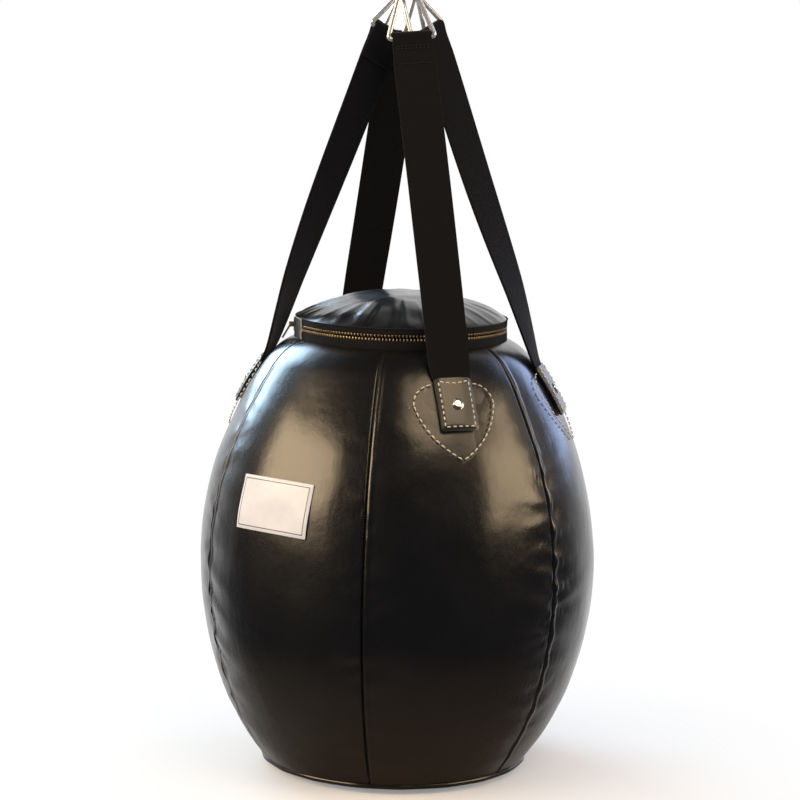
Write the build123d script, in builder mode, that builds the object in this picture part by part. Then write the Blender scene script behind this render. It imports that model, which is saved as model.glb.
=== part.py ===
"""Heavy punching bag: a filled leather body with a zipped lid, four straps and rings on a carabiner.

Millimetres, +Z up.  The origin is the hanging point, on the inside of the carabiner's top bow.
An azimuth is counted from -Y towards +X, and the label faces azimuth 0.
"""
from build123d import *
import os
from math import acos, asin, atan2, cos, degrees, hypot, radians, sin, sqrt, tan

os.makedirs("parts", exist_ok=True)

# ---------------------------------------------------------------- driving dimensions
# carabiner
wire_radius = 4.5            # bow wire
eye_height = 92.0            # clear height inside the bows
bar_half = 24.0              # straight half of the bottom bar
bow_corner = 12.0            # centre-line radius of the bottom corners
top_half = 19.0              # half width of the top bow at its corners
top_corner = 15.0            # centre-line radius of the top corners
gate_from, gate_to = 0.24, 0.74   # stretch of the side that the gate fills
gate_radius = 4.0
gate_pin_radius = 1.6
gate_pin_clearance = 0.06
gate_end_gap = 0.5
hanger_azimuth = 39.0        # direction of the bottom bar

# triangle rings
ring_wire = 2.9              # radius of the ring's wire
ring_base_half = 28.0        # to the sharp corner of the centre line
ring_side_angle = 19.0       # each side's lean from the ring's middle line
ring_arch = 11.0             # centre-line radius at the apex
ring_corner = 3.5            # centre-line radius at the base
hang_gap = 0.9               # ring to bar, on the ring's middle line
# (seat along the bar, base out along the bar, base across the bar, turn of the base wire)
ring_lean = {"front": (18.6, 25.1, 5.1, 98.0), "right": (-3.4, -4.1, 24.7, 128.0)}

# straps
strap_width = 50.0
strap_thickness = 3.0
strap_run = 64.0             # sewn length on the bag, from the heart's middle down
loop_gap = 0.25              # loop to ring wire
loop_tail = 30.0             # doubled length below the ring
strap_azimuths = {"front": 60.0, "right": 120.0, "back": 240.0, "left": 300.0}

# bag body
ring_to_mouth = 391.0        # bar axis down to the middle of the zipper
bag_radius = 236.6
mouth_radius = 126.8
widest_drop = 290.0          # middle of the zipper down to the widest place
mouth_drop = 13.9            # middle of the zipper down to the panels' top edge
bag_depth = 529.0            # middle of the zipper down to the foot
foot_radius = 145.6          # flat part of the foot
foot_bow = 18.0
shoulder_bow = 75.0
mouth_pitch = 66.6           # surface normal at the mouth, up from level
panel_thickness = 3.0
panel_count = 6
seam_gap = 0.3
foam_thickness = 12.0
liner_thickness = 1.0
layer_gap = 0.3
burr_room = 1.6              # panel to foam

# patches
heart_thickness = 2.5
heart_half_width = 53.0
heart_top = 44.0             # lobe above the heart's middle
heart_notch = 30.0
heart_tip = 56.0
heart_turn = 28.0            # surface normal at the heart's middle, up from level
tab_thickness = 2.5
tab_half_width = 22.0
tab_top, tab_bottom = 46.0, -17.0
rivet_up = 13.0              # rivet above the heart's middle
rivet_post = 2.0
rivet_cap = 6.3
rivet_cap_height = 1.8
burr_radius = 5.0
burr_thickness = 1.0
rivet_clearance = 0.1
label_thickness = 1.0
label_half_width, label_half_height = 52.5, 31.0
label_drop = 189.0

# zipper and lid
tape_thickness = 1.5
tape_inset = 1.5             # tape's outer face inside the mouth
tape_foot = 20.0             # lower tape's bottom edge, below the middle of the zipper
tape_top = 11.0              # upper tape's top edge, above it
teeth_half = 4.4             # half the chain's height
teeth_gap = 0.15
teeth_outer, teeth_inner = 1.4, 1.0   # teeth past the tape's two faces
lid_rise = 30.0              # lid's crown above its rim
lid_thickness = 3.0
lid_overhang = 2.2           # lid's rim past the tape
fold_y = -20.0               # hinge line of the lid
fold_width = 31.0
lid_gap = 0.4
end_tab_azimuth = -35.0
end_tab_half_width, end_tab_thickness = 15.0, 2.0
slider_azimuth = -47.5
slider_half_length, slider_half_height, slider_thickness = 7.5, 7.0, 2.0
slider_gap = 0.35
lug_half_width, lug_reach = 1.5, 6.0
pull_pin, pull_pin_clearance = 1.0, 0.06
pull_length, pull_half_width, pull_thickness = 22.0, 5.0, 1.6
pull_lean = 30.0             # out from hanging straight down

# ---------------------------------------------------------------- worked-out places
bar_z = -(eye_height + wire_radius)
mouth_z = bar_z - ring_to_mouth
widest_z = -widest_drop


def tangent_bow(across, along, small):
    """Radius of the side's big arc that runs smoothly into an end arc of radius small."""
    return (across ** 2 + along ** 2 - small ** 2) / (2 * (across - small))


def polar(centre, radius, turn):
    return (centre[0] + radius * cos(radians(turn)), centre[1] + radius * sin(radians(turn)))


shoulder_centre = polar((mouth_radius, -mouth_drop), -shoulder_bow, mouth_pitch)
foot_centre = (foot_radius, foot_bow - bag_depth)
upper_bow = tangent_bow(bag_radius - shoulder_centre[0], shoulder_centre[1] - widest_z, shoulder_bow)
lower_bow = tangent_bow(bag_radius - foot_centre[0], widest_z - foot_centre[1], foot_bow)
upper_centre = (bag_radius - upper_bow, widest_z)
lower_centre = (bag_radius - lower_bow, widest_z)
shoulder_turn = degrees(atan2(shoulder_centre[1] - widest_z, shoulder_centre[0] - upper_centre[0]))
foot_turn = degrees(atan2(widest_z - foot_centre[1], foot_centre[0] - lower_centre[0]))


def heading(azimuth):
    """Level unit vector that points along an azimuth."""
    return Vector(sin(radians(azimuth)), -cos(radians(azimuth)), 0)


def radial_plane(azimuth):
    """Upright plane through the bag's axis: x outward, y up, origin at the zipper's height."""
    return Plane(origin=(0, 0, mouth_z), x_dir=heading(azimuth), z_dir=heading(azimuth - 90))


def surface_plane(azimuth, turn, lift=0.0):
    """Plane that touches the bag's upper side: x to growing azimuth, y up the surface."""
    out, height = polar(upper_centre, upper_bow + lift, turn)
    outward = heading(azimuth) * cos(radians(turn)) + Vector(0, 0, sin(radians(turn)))
    origin = heading(azimuth) * out + Vector(0, 0, mouth_z + height)
    return Plane(origin=origin, x_dir=heading(azimuth + 90), z_dir=outward)


def side_arcs(inset):
    """The bag's side from foot to mouth, inset from its outer face."""
    CenterArc(foot_centre, foot_bow - inset, -90, 90 - foot_turn)
    CenterArc(lower_centre, lower_bow - inset, -foot_turn, foot_turn)
    CenterArc(upper_centre, upper_bow - inset, 0, shoulder_turn)
    CenterArc(shoulder_centre, shoulder_bow - inset, shoulder_turn, mouth_pitch - shoulder_turn)


def shell(azimuth, sweep_angle, outer, inner):
    """A layer of the bag's side between two insets, turned about the axis from an azimuth."""
    with BuildPart() as layer:
        with BuildSketch(radial_plane(azimuth)):
            with BuildLine():
                side_arcs(outer)
                side_arcs(inner)
                Line(polar(foot_centre, foot_bow - outer, -90), polar(foot_centre, foot_bow - inner, -90))
                Line(polar(shoulder_centre, shoulder_bow - outer, mouth_pitch),
                     polar(shoulder_centre, shoulder_bow - inner, mouth_pitch))
            make_face()
        revolve(axis=Axis.Z, revolution_arc=sweep_angle)
    return layer.part


def ring_band(inner, outer, low, high, azimuth=0.0, sweep_angle=360.0):
    """A short upright band about the bag's axis; heights are from the zipper's middle."""
    with BuildPart() as band:
        with BuildSketch(radial_plane(azimuth)):
            with Locations(((inner + outer) / 2, (low + high) / 2)):
                Rectangle(outer - inner, high - low)
        revolve(axis=Axis.Z, revolution_arc=sweep_angle)
    return band.part


def save(node, name):
    node.label = name
    export_step(node, f"parts/{name}.step")


# ---------------------------------------------------------------- carabiner
bar_axis = heading(hanger_azimuth)
bow_plane = Plane(origin=(0, 0, bar_z), x_dir=bar_axis, z_dir=heading(hanger_azimuth - 90))
bow_top = eye_height + 2 * wire_radius
side_slope = atan2(bar_half + bow_corner - top_half, bow_top)
corner_x = bar_half + bow_corner * tan((radians(90) + side_slope) / 2)
side_run = (top_half - corner_x, bow_top)
gate_low = (corner_x + side_run[0] * gate_from, bow_top * gate_from)
gate_high = (corner_x + side_run[0] * gate_to, bow_top * gate_to)
gate_length = hypot(gate_high[0] - gate_low[0], gate_high[1] - gate_low[1])
gate_lean = atan2(-side_run[0], side_run[1])
gate_plane = Plane(origin=bow_plane.from_local_coords(gate_low),
                   x_dir=bar_axis * cos(gate_lean) + Vector(0, 0, sin(gate_lean)), z_dir=bow_plane.z_dir)
gate_eye = gate_radius + 0.8
ear_thickness = 2.2
tongue_half = wire_radius - ear_thickness

with BuildPart() as carabiner_body:
    with BuildLine() as bow_path:
        points = [gate_low, (corner_x, 0), (-corner_x, 0), (-top_half, bow_top), (top_half, bow_top), gate_high]
        FilletPolyline(*[bow_plane.from_local_coords(p) for p in points],
                       radius=[bow_corner, bow_corner, top_corner, top_corner])
    with BuildSketch(Plane(origin=bow_path.line @ 0, z_dir=bow_path.line % 0)):
        Circle(wire_radius)
    sweep()
    with BuildSketch(gate_plane):
        Circle(gate_eye)
    extrude(amount=wire_radius, both=True)
    with BuildSketch(gate_plane):
        with Locations((0, gate_eye)):
            Rectangle(4 * gate_eye, 4 * gate_eye + 2 * gate_end_gap)
    extrude(amount=tongue_half + 0.3, both=True, mode=Mode.SUBTRACT)
    with BuildSketch(gate_plane):
        Circle(gate_pin_radius)
    extrude(amount=2 * wire_radius, both=True, mode=Mode.SUBTRACT)
save(carabiner_body.part, "carabiner_body")

with BuildPart() as gate_pin:
    with BuildSketch(gate_plane):
        Circle(gate_pin_radius)
    extrude(amount=wire_radius, both=True)
save(gate_pin.part, "gate_pin")

with BuildPart() as carabiner_gate:
    with BuildSketch(gate_plane):
        Circle(gate_eye - 0.6)
        with Locations((0, gate_eye)):
            Rectangle(2 * gate_radius - 1.2, 2 * gate_eye)
    extrude(amount=tongue_half, both=True)
    with BuildSketch(Plane(origin=gate_plane.origin + gate_plane.y_dir * (gate_eye + 2.5),
                           z_dir=gate_plane.y_dir)):
        Circle(gate_radius)
    extrude(amount=gate_length - gate_end_gap - gate_eye - 2.5)
    with BuildSketch(gate_plane):
        Circle(gate_pin_radius + gate_pin_clearance)
    extrude(amount=2 * wire_radius, both=True, mode=Mode.SUBTRACT)
save(carabiner_gate.part, "carabiner_gate")

# ---------------------------------------------------------------- rings
arch_rise = ring_arch / sin(radians(ring_side_angle)) - ring_arch
ring_height = ring_base_half / tan(radians(ring_side_angle)) - arch_rise
base_straight = ring_base_half - ring_corner * (tan(radians(ring_side_angle))
                                                + 1 / cos(radians(ring_side_angle)))
arch_drop = ring_arch - ring_wire - wire_radius - hang_gap
ring_reach = ring_height - ring_arch + arch_drop


def from_bar(along, across, up=0.0):
    return bar_axis * along + heading(hanger_azimuth + 90) * across + Vector(0, 0, bar_z + up)


def ring_plane(seat, base_along, base_across, base_turn):
    """Plane of one hanging ring: x along its base wire, y up the ring, origin mid-base."""
    out = (base_along - seat, base_across)
    drop = sqrt(ring_reach ** 2 - out[0] ** 2 - out[1] ** 2)
    base = from_bar(base_along, base_across, -drop)
    up = (from_bar(seat, 0) - base).normalized()
    wire = from_bar(cos(radians(base_turn)), sin(radians(base_turn)), -bar_z)
    wire = (wire - up * wire.dot(up)).normalized()
    return Plane(origin=base, x_dir=wire, z_dir=wire.cross(up))


ring_planes = {}
for place, opposite in (("front", "back"), ("right", "left")):
    seat, base_along, base_across, base_turn = ring_lean[place]
    ring_planes[place] = ring_plane(seat, base_along, base_across, base_turn)
    ring_planes[opposite] = ring_plane(-seat, -base_along, -base_across, base_turn + 180)

for place, plane in ring_planes.items():
    with BuildPart() as triangle_ring:
        with BuildLine() as ring_path:
            apex = (0, ring_base_half / tan(radians(ring_side_angle)))
            corners = [(-ring_base_half, 0), (ring_base_half, 0), apex]
            FilletPolyline(*[plane.from_local_coords(c) for c in corners],
                           radius=[ring_corner, ring_corner, ring_arch], close=True)
        with BuildSketch(Plane(origin=ring_path.line @ 0, z_dir=ring_path.line % 0)):
            Circle(ring_wire)
        sweep()
    save(triangle_ring.part, f"triangle_ring_{place}")

# ---------------------------------------------------------------- bag body
seam_angle = degrees(seam_gap / bag_radius)
panel_angle = 360 / panel_count
panels = [shell(n * panel_angle - panel_angle / 2 + seam_angle / 2, panel_angle - seam_angle,
                0, panel_thickness) for n in range(panel_count)]
strap_lift = heart_thickness + strap_thickness
rivet_planes = {}
for place, azimuth in strap_azimuths.items():
    turn = heart_turn + degrees(rivet_up / upper_bow)
    rivet_planes[place] = surface_plane(azimuth, turn)

with BuildPart() as rivet_holes:
    for plane in rivet_planes.values():
        with BuildSketch(plane.offset(-2 * panel_thickness)):
            Circle(rivet_post + rivet_clearance)
        extrude(amount=2 * panel_thickness + strap_lift + 2 * tab_thickness)

for n, panel in enumerate(panels):
    save(panel - rivet_holes.part, f"cover_panel_{n + 1}")

with BuildPart() as bottom_panel:
    with BuildSketch(Plane.XY.offset(mouth_z - bag_depth)):
        Circle(foot_radius)
    extrude(amount=panel_thickness)
save(bottom_panel.part, "bottom_panel")

foam_skin = panel_thickness + burr_room
with BuildPart() as foam_layer:
    with BuildSketch(radial_plane(0)):
        with BuildLine():
            CenterArc(lower_centre, lower_bow - foam_skin, -foot_turn, foot_turn)
            CenterArc(upper_centre, upper_bow - foam_skin, 0, shoulder_turn)
            CenterArc(upper_centre, upper_bow - foam_skin - foam_thickness, 0, shoulder_turn)
            CenterArc(lower_centre, lower_bow - foam_skin - foam_thickness, -foot_turn, foot_turn)
            Line(polar(lower_centre, lower_bow - foam_skin, -foot_turn),
                 polar(lower_centre, lower_bow - foam_skin - foam_thickness, -foot_turn))
            Line(polar(upper_centre, upper_bow - foam_skin, shoulder_turn),
                 polar(upper_centre, upper_bow - foam_skin - foam_thickness, shoulder_turn))
        make_face()
    revolve(axis=Axis.Z)
save(foam_layer.part, "foam_layer")


def sack(inset, low, high):
    """A closed body of revolution inside the foam, between two heights."""
    with BuildPart() as body:
        with BuildSketch(radial_plane(0)):
            with BuildLine():
                lower = CenterArc(lower_centre, lower_bow - inset, -foot_turn, foot_turn)
                upper = CenterArc(upper_centre, upper_bow - inset, 0, shoulder_turn)
                Polyline(lower @ 0, (0, (lower @ 0).Y), (0, (upper @ 1).Y), upper @ 1)
            make_face()
        revolve(axis=Axis.Z)
        with BuildSketch(Plane.XY.offset(mouth_z + low)):
            Circle(bag_radius)
        extrude(amount=high - low, mode=Mode.INTERSECT)
    return body.part


liner_inset = foam_skin + foam_thickness + layer_gap
fill_inset = liner_inset + liner_thickness
liner_top = polar(upper_centre, upper_bow - liner_inset, shoulder_turn)[1]
liner_foot = polar(lower_centre, lower_bow - liner_inset, -foot_turn)[1]
filling_part = sack(fill_inset, liner_foot + liner_thickness, liner_top - liner_thickness)
liner_part = sack(liner_inset, liner_foot, liner_top) - sack(fill_inset, liner_foot + liner_thickness,
                                                            liner_top - liner_thickness)
save(liner_part, "inner_liner")
save(filling_part, "filling")

# ---------------------------------------------------------------- hearts, straps and tabs
side_reach = 40.0            # cutting depth each way from a surface plane
patch_spread = 40.0          # degrees each way that are searched for a patch


def patch(azimuth, inner_lift, outer_lift, outline):
    """A layer that follows the bag's side, cut to a flat outline seen square-on."""
    with BuildPart() as layer:
        with BuildSketch(surface_plane(azimuth, heart_turn)):
            add(outline)
        extrude(amount=side_reach, both=True)
    return shell(azimuth - patch_spread, 2 * patch_spread, -outer_lift, -inner_lift) & layer.part


with BuildSketch() as heart_outline:
    with BuildLine():
        lobe = ThreePointArc((0, heart_notch), (heart_half_width * 0.55, heart_top),
                             (heart_half_width, heart_notch * 0.55))
        side = ThreePointArc(lobe @ 1, (heart_half_width * 0.74, -heart_tip * 0.35), (0, -heart_tip))
        mirror(about=Plane.YZ)
    make_face()

with BuildSketch() as tab_outline:
    with Locations((0, (tab_top + tab_bottom) / 2)):
        RectangleRounded(2 * tab_half_width, tab_top - tab_bottom, 3)

with BuildSketch() as strap_outline:
    with Locations((0, tab_top + 2 - strap_run / 2)):
        Rectangle(strap_width, strap_run)

strap_mid = heart_thickness + strap_thickness / 2
leave_turn = heart_turn + degrees(tab_top / upper_bow)
loop_width = 2 * base_straight - 1.0
for place, azimuth in strap_azimuths.items():
    hole = rivet_holes.part
    heart = patch(azimuth, 0, heart_thickness, heart_outline.sketch) - hole
    save(heart, f"heart_patch_{place}")
    tab = patch(azimuth, strap_lift, strap_lift + tab_thickness, tab_outline.sketch) - hole
    save(tab, f"strap_tab_{place}")
    ring = ring_planes[place]
    leave = surface_plane(azimuth, leave_turn, strap_mid)
    rise = (ring.origin - leave.origin).normalized()
    loop_outer = ring_wire + loop_gap + strap_thickness
    across = (leave.x_dir - rise * leave.x_dir.dot(rise)).normalized()
    wire = ring.x_dir if ring.x_dir.dot(across) > 0 else ring.x_dir * -1
    loop_down = (ring.x_dir * rise.dot(ring.x_dir) - rise).normalized()
    with BuildPart() as span:
        with BuildSketch(Plane(origin=leave.origin, x_dir=across, z_dir=rise)):
            Rectangle(strap_width, strap_thickness)
        with BuildSketch(Plane(origin=ring.origin + loop_down * loop_outer, x_dir=wire, z_dir=loop_down * -1)):
            Rectangle(loop_width, strap_thickness)
        loft(ruled=True)
    loop_plane = Plane(origin=ring.origin, x_dir=loop_down, z_dir=ring.x_dir)
    with BuildPart() as loop:
        with BuildSketch(loop_plane):
            Circle(loop_outer)
            with Locations((loop_outer / 2 + loop_tail / 2, 0)):
                Rectangle(loop_outer + loop_tail, 2 * strap_thickness)
        extrude(amount=loop_width / 2, both=True)
        with BuildSketch(loop_plane):
            Circle(ring_wire + loop_gap)
        extrude(amount=strap_width, both=True, mode=Mode.SUBTRACT)
    leg = patch(azimuth, heart_thickness, strap_lift, strap_outline.sketch) - hole
    save(leg + span.part + loop.part, f"strap_{place}")

post_bottom = -(panel_thickness + burr_thickness)
cap_seat = strap_lift + tab_thickness
with BuildPart() as rivets:
    for plane in rivet_planes.values():
        with BuildSketch(plane.offset(post_bottom)):
            Circle(rivet_post)
        extrude(amount=cap_seat - post_bottom)
        with BuildSketch(plane.offset(cap_seat + 0.1)):
            Circle(rivet_cap)
        extrude(amount=rivet_cap_height, taper=30)
save(rivets.part, "strap_rivets")

with BuildPart() as burrs:
    for plane in rivet_planes.values():
        with BuildSketch(plane.offset(post_bottom - 0.1)):
            Circle(burr_radius)
            Circle(rivet_post + rivet_clearance, mode=Mode.SUBTRACT)
        extrude(amount=burr_thickness)
save(burrs.part, "rivet_burrs")

label_turn = degrees(asin((widest_drop - label_drop) / upper_bow))
with BuildPart() as label_block:
    with BuildSketch(surface_plane(0, label_turn)):
        RectangleRounded(2 * label_half_width, 2 * label_half_height, 4)
    extrude(amount=side_reach, both=True)
save(shell(-patch_spread, 2 * patch_spread, -label_thickness, 0) & label_block.part, "label_patch")

# ---------------------------------------------------------------- zipper
tape_outer = mouth_radius - tape_inset
tape_inner = tape_outer - tape_thickness
teeth_rim = (tape_inner - teeth_inner, tape_outer + teeth_outer)
fold_half = degrees(acos(min(1.0, -fold_y / tape_outer)))
cut_angle = degrees(lid_gap / tape_outer)
front_turn = (-fold_half + cut_angle, 2 * fold_half - 2 * cut_angle)
rear_turn = (fold_half + cut_angle, 360 - 2 * fold_half - 2 * cut_angle)
save(ring_band(tape_inner, tape_outer, -tape_foot, -teeth_half), "zipper_tape_lower")
save(ring_band(*teeth_rim, -teeth_half, -teeth_gap), "zipper_teeth_lower")
for place, (start, angle) in (("front", front_turn), ("rear", rear_turn)):
    save(ring_band(tape_inner, tape_outer, teeth_half, tape_top, start, angle), f"zipper_tape_{place}")
    save(ring_band(*teeth_rim, teeth_gap, teeth_half, start, angle), f"zipper_teeth_{place}")

end_tab_inner = teeth_rim[1] + 0.1
end_tab_turn = degrees(end_tab_half_width / end_tab_inner)
end_tab = ring_band(end_tab_inner, end_tab_inner + end_tab_thickness, -mouth_drop + 1, tape_top,
                    end_tab_azimuth - end_tab_turn, 2 * end_tab_turn)
save(end_tab, "zipper_end_tab")

# ---------------------------------------------------------------- lid
lid_rim = tape_outer + lid_overhang
crown_bow = (lid_rim ** 2 + lid_rise ** 2) / (2 * lid_rise)
crown_turn = degrees(asin(lid_rim / crown_bow))
with BuildPart() as lid:
    with BuildSketch(radial_plane(0)):
        with BuildLine():
            centre = (0, tape_top + lid_thickness + lid_rise - crown_bow)
            crown = CenterArc(centre, crown_bow, 90 - crown_turn, crown_turn)
            inside = CenterArc(centre, crown_bow - lid_thickness, 90 - crown_turn, crown_turn)
            Line(crown @ 0, inside @ 0)
            Line(crown @ 1, inside @ 1)
        make_face()
    revolve(axis=Axis.Z)


def lid_slice(front, rear):
    """The part of the lid between two Y places."""
    with BuildPart() as block:
        with BuildSketch(Plane.XY.offset(mouth_z)):
            with Locations((0, (front + rear) / 2)):
                Rectangle(4 * lid_rim, rear - front)
        extrude(amount=tape_top + lid_rise + 2 * lid_thickness)
    return lid.part & block.part


save(lid_slice(-2 * lid_rim, fold_y - fold_width), "lid_front")
save(lid_slice(fold_y - fold_width + 0.1, fold_y - lid_gap), "lid_fold")
save(lid_slice(fold_y + lid_gap, 2 * lid_rim), "lid_flap")

# ---------------------------------------------------------------- slider and pull
slider_face = teeth_rim[1] + slider_gap
slider_plane = Plane(origin=heading(slider_azimuth) * slider_face + Vector(0, 0, mouth_z),
                     x_dir=Vector(0, 0, 1), z_dir=heading(slider_azimuth))
slider_turn = degrees(slider_half_length / slider_face)
lug_centre = slider_thickness + lug_reach - pull_pin - 1.4
side_plane = Plane(origin=slider_plane.origin, x_dir=slider_plane.z_dir, z_dir=heading(slider_azimuth - 90))
plate = ring_band(slider_face, slider_face + slider_thickness, -slider_half_height, slider_half_height,
                  slider_azimuth - slider_turn, 2 * slider_turn)
with BuildPart() as zipper_slider:
    add(plate)
    with BuildSketch(side_plane):
        with Locations((slider_thickness / 2 + lug_reach / 2, 0)):
            Rectangle(slider_thickness / 2 + lug_reach, 6)
    extrude(amount=lug_half_width, both=True)
    with BuildSketch(side_plane):
        with Locations((lug_centre, 0)):
            Circle(pull_pin + pull_pin_clearance)
    extrude(amount=slider_half_length, both=True, mode=Mode.SUBTRACT)
save(zipper_slider.part, "zipper_slider")

pull_axis = side_plane.from_local_coords((lug_centre, 0))
pull_plane = Plane(origin=pull_axis, x_dir=side_plane.z_dir * -1,
                   z_dir=heading(slider_azimuth) * cos(radians(pull_lean)) + Vector(0, 0, sin(radians(pull_lean))))
with BuildPart() as zipper_pull:
    with BuildSketch(pull_plane):
        with Locations((0, 3 - pull_length / 2)):
            RectangleRounded(2 * pull_half_width, pull_length, 2)
        with Locations((0, 0)):
            Rectangle(2 * lug_half_width + 1, 12, mode=Mode.SUBTRACT)
            Rectangle(20, 7.2, mode=Mode.SUBTRACT)
        with Locations((pull_half_width - 1.4, -1), (1.4 - pull_half_width, -1)):
            Rectangle(2.8, 8)
    extrude(amount=pull_thickness / 2, both=True)
    with BuildSketch(Plane(origin=pull_axis, z_dir=side_plane.z_dir)):
        Circle(pull_pin)
    extrude(amount=pull_half_width - 0.5, both=True)
save(zipper_pull.part, "zipper_pull")
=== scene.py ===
"""Looks of a hanging heavy punching bag: gloss leather cover, webbing straps, zipped lid and hardware.

Metres, +Z up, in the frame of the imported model.  An azimuth is counted from -Y towards +X.
"""
import math
import random

import bmesh
import bpy
from bpy.props import FloatProperty, FloatVectorProperty
from mathutils import Matrix, Vector, noise


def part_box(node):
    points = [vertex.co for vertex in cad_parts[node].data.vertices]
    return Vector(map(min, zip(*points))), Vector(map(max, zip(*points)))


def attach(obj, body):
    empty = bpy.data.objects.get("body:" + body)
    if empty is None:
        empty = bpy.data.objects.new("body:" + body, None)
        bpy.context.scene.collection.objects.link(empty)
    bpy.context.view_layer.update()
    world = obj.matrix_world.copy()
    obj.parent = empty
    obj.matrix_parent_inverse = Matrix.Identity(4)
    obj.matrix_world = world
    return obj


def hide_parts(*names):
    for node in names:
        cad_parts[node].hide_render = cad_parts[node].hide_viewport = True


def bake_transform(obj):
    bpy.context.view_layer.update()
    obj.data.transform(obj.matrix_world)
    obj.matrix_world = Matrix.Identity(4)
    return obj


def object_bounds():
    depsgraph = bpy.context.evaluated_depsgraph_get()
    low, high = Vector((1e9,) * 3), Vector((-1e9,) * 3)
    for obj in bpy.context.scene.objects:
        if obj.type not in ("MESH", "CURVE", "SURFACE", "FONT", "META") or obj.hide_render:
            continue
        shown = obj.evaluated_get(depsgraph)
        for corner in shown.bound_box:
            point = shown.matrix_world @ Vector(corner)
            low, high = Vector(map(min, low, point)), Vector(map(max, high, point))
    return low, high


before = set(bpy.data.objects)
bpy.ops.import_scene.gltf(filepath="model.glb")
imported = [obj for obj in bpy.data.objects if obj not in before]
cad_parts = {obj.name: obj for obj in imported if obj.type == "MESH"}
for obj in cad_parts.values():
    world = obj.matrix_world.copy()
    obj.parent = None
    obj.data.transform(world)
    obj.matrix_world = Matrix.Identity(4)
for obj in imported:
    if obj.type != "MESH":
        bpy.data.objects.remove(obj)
CAD_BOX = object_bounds()

bl_info = {
    "name": "Punching Bag Maker",
    "version": (1, 0, 0),
    "blender": (4, 5, 0),
    "location": "View3D > Sidebar > Bag",
    "description": "Builds the leather, webbing, zipper and hardware of a heavy punching bag",
    "category": "Add Mesh",
}

# ---------------------------------------------------------------- places read from the frame
STRAP_AZIMUTH = {"front": 60.0, "right": 120.0, "back": 240.0, "left": 300.0}
CAMERA_AZIMUTH = 39.35
TAPE_LOW, TAPE_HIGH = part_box("zipper_tape_lower")
TEETH_LOW, TEETH_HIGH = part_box("zipper_teeth_lower")
UPPER_LOW, UPPER_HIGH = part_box("zipper_tape_front")
COVER_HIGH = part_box("cover_panel_1")[1]
FOOT_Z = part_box("bottom_panel")[0].z
FOOT_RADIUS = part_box("bottom_panel")[1].x
MOUTH_Z = TEETH_HIGH.z + 0.00015
PANEL_TOP = COVER_HIGH.z
LID_TOP = max(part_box("lid_flap")[1].z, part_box("lid_front")[1].z)
LID_RIM_Z = UPPER_HIGH.z
TEETH_RADIUS = TEETH_HIGH.x
FLOOR_Z = CAD_BOX[0].z - 0.004


def length_property(name, description, default):
    return FloatProperty(name=name, description=description, default=default, unit="LENGTH")


def colour_property(name, description, default):
    return FloatVectorProperty(name=name, description=description, default=default, subtype="COLOR", size=3)


class BagSizes(bpy.types.PropertyGroup):
    """Sizes and colours of the bag's visible pieces."""
    widest_radius: length_property("Widest Radius", "Radius of the body at its widest", 0.2366)
    widest_drop: length_property("Widest Drop", "Middle of the zipper down to the widest place", 0.290)
    mouth_radius: length_property("Mouth Radius", "Radius of the cover's top edge", 0.1268)
    shoulder_bow: length_property("Shoulder Bow", "Radius of the bend into the mouth", 0.075)
    foot_bow: length_property("Foot Bow", "Radius of the bend under the foot", 0.018)
    mouth_pitch: FloatProperty(name="Mouth Pitch", description="Slope of the cover at the mouth",
                               default=math.radians(66.6), subtype="ANGLE")
    seam_depth: length_property("Seam Depth", "Depth of the valley along a seam", 0.0026)
    seam_width: length_property("Seam Width", "Half width of the valley along a seam", 0.0013)
    panel_crown: length_property("Panel Crown", "Swell of a panel between its seams", 0.0022)
    strap_width: length_property("Strap Width", "Width of the webbing", 0.050)
    stitch_pitch: length_property("Stitch Pitch", "Distance from stitch to stitch", 0.0076)
    tooth_pitch: length_property("Tooth Pitch", "Distance from tooth to tooth on one tape", 0.0041)
    leather: colour_property("Leather", "Base colour of the leather", (0.0030, 0.0031, 0.0036))
    webbing: colour_property("Webbing", "Colour of the straps", (0.0060, 0.0060, 0.0068))
    thread: colour_property("Thread", "Colour of the stitching", (0.78, 0.69, 0.52))
    raw_edge: colour_property("Raw Edge", "Colour of the leather's cut edge", (0.82, 0.75, 0.62))
    brass: colour_property("Brass", "Colour of the zipper", (0.62, 0.50, 0.31))
    label: colour_property("Label", "Colour of the label", (0.80, 0.82, 0.86))


def sizes():
    return bpy.context.scene.bag_sizes


# ---------------------------------------------------------------- shader maths
class Val:
    """A socket that takes arithmetic; each operation adds its Math node."""

    def __init__(self, shader, socket):
        self.shader = shader
        self.socket = socket

    def _math(self, operation, *others):
        return self.shader.node("ShaderNodeMath", {"operation": operation}, [self, *others])

    def __add__(self, other):
        return self._math("ADD", other)

    def __sub__(self, other):
        return self._math("SUBTRACT", other)

    def __mul__(self, other):
        return self._math("MULTIPLY", other)

    def __rsub__(self, other):
        return self.shader.node("ShaderNodeMath", {"operation": "SUBTRACT"}, [other, self])

    __radd__ = __add__
    __rmul__ = __mul__

    def absolute(self):
        return self._math("ABSOLUTE")

    def sine(self):
        return self._math("SINE")

    def clamp(self, low, high):
        """0 at low, 1 at high, straight between."""
        return self.shader.node("ShaderNodeMapRange", {"clamp": True}, [self, low, high, 0.0, 1.0])


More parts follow.
